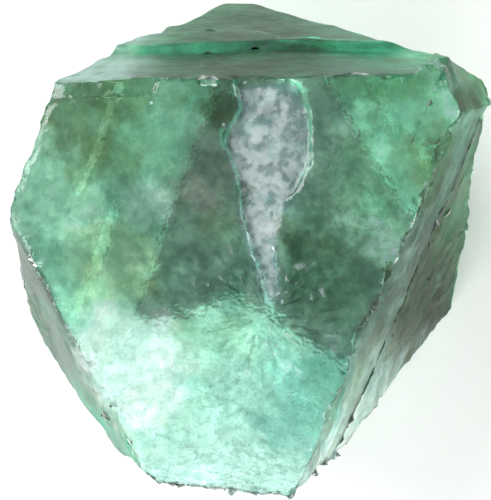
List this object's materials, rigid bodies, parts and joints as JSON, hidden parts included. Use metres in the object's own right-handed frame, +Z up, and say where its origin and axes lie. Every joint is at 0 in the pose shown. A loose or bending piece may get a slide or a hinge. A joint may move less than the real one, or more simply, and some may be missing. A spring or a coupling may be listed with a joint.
{
  "type": "green fluorite crystal",
  "caption": "Translucent green octahedral crystal with broken corners, stepped cleavage faces and a milky scar, lying on one face.",
  "frame": {"origin": "under the middle of the crystal's bounding box, on the surface it rests on", "axes": "+Z up from the resting face to the large face on top; +Y towards the long straight edge of the top face"},
  "size_m": [0.0456, 0.0508, 0.0396],
  "materials": {
    "green_crystal": "natural cleavage faces of clear green fluorite, glassy to frosted, with veils and worn white edges"
  },
  "bodies": {
    "root": {"crystal": "green_crystal"}
  },
  "joints": []
}
